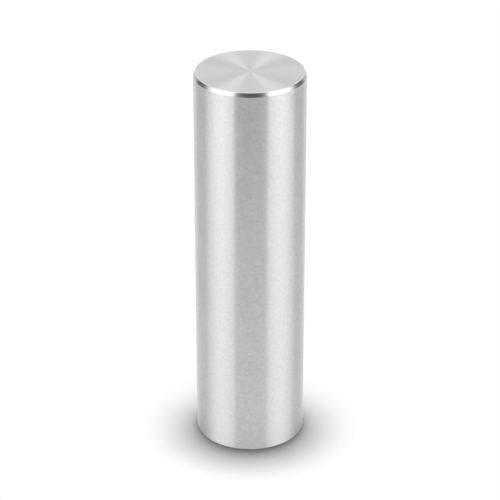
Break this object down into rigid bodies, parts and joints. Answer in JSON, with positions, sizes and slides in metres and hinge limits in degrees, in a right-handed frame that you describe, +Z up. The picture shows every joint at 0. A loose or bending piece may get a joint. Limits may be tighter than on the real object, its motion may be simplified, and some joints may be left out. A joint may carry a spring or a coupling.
{
  "type": "steel round bar",
  "caption": "Solid steel round bar with a fine-ground wall, square faced ends and a bright chamfer on its upper edge. It stands on end, or is held by its wall.",
  "frame": {"origin": "middle of the lower face, on the surface that the bar stands on", "axes": "+Z up along the bar's axis, from the lower end to the chamfered upper end; X and Y are equal, because the bar is round"},
  "size_m": [0.025, 0.025, 0.09],
  "materials": {
    "bar_steel": "fine-ground wall, concentric facing marks on the ends, bright-turned chamfer"
  },
  "bodies": {
    "root": {"round_bar": "bar_steel"}
  },
  "joints": []
}
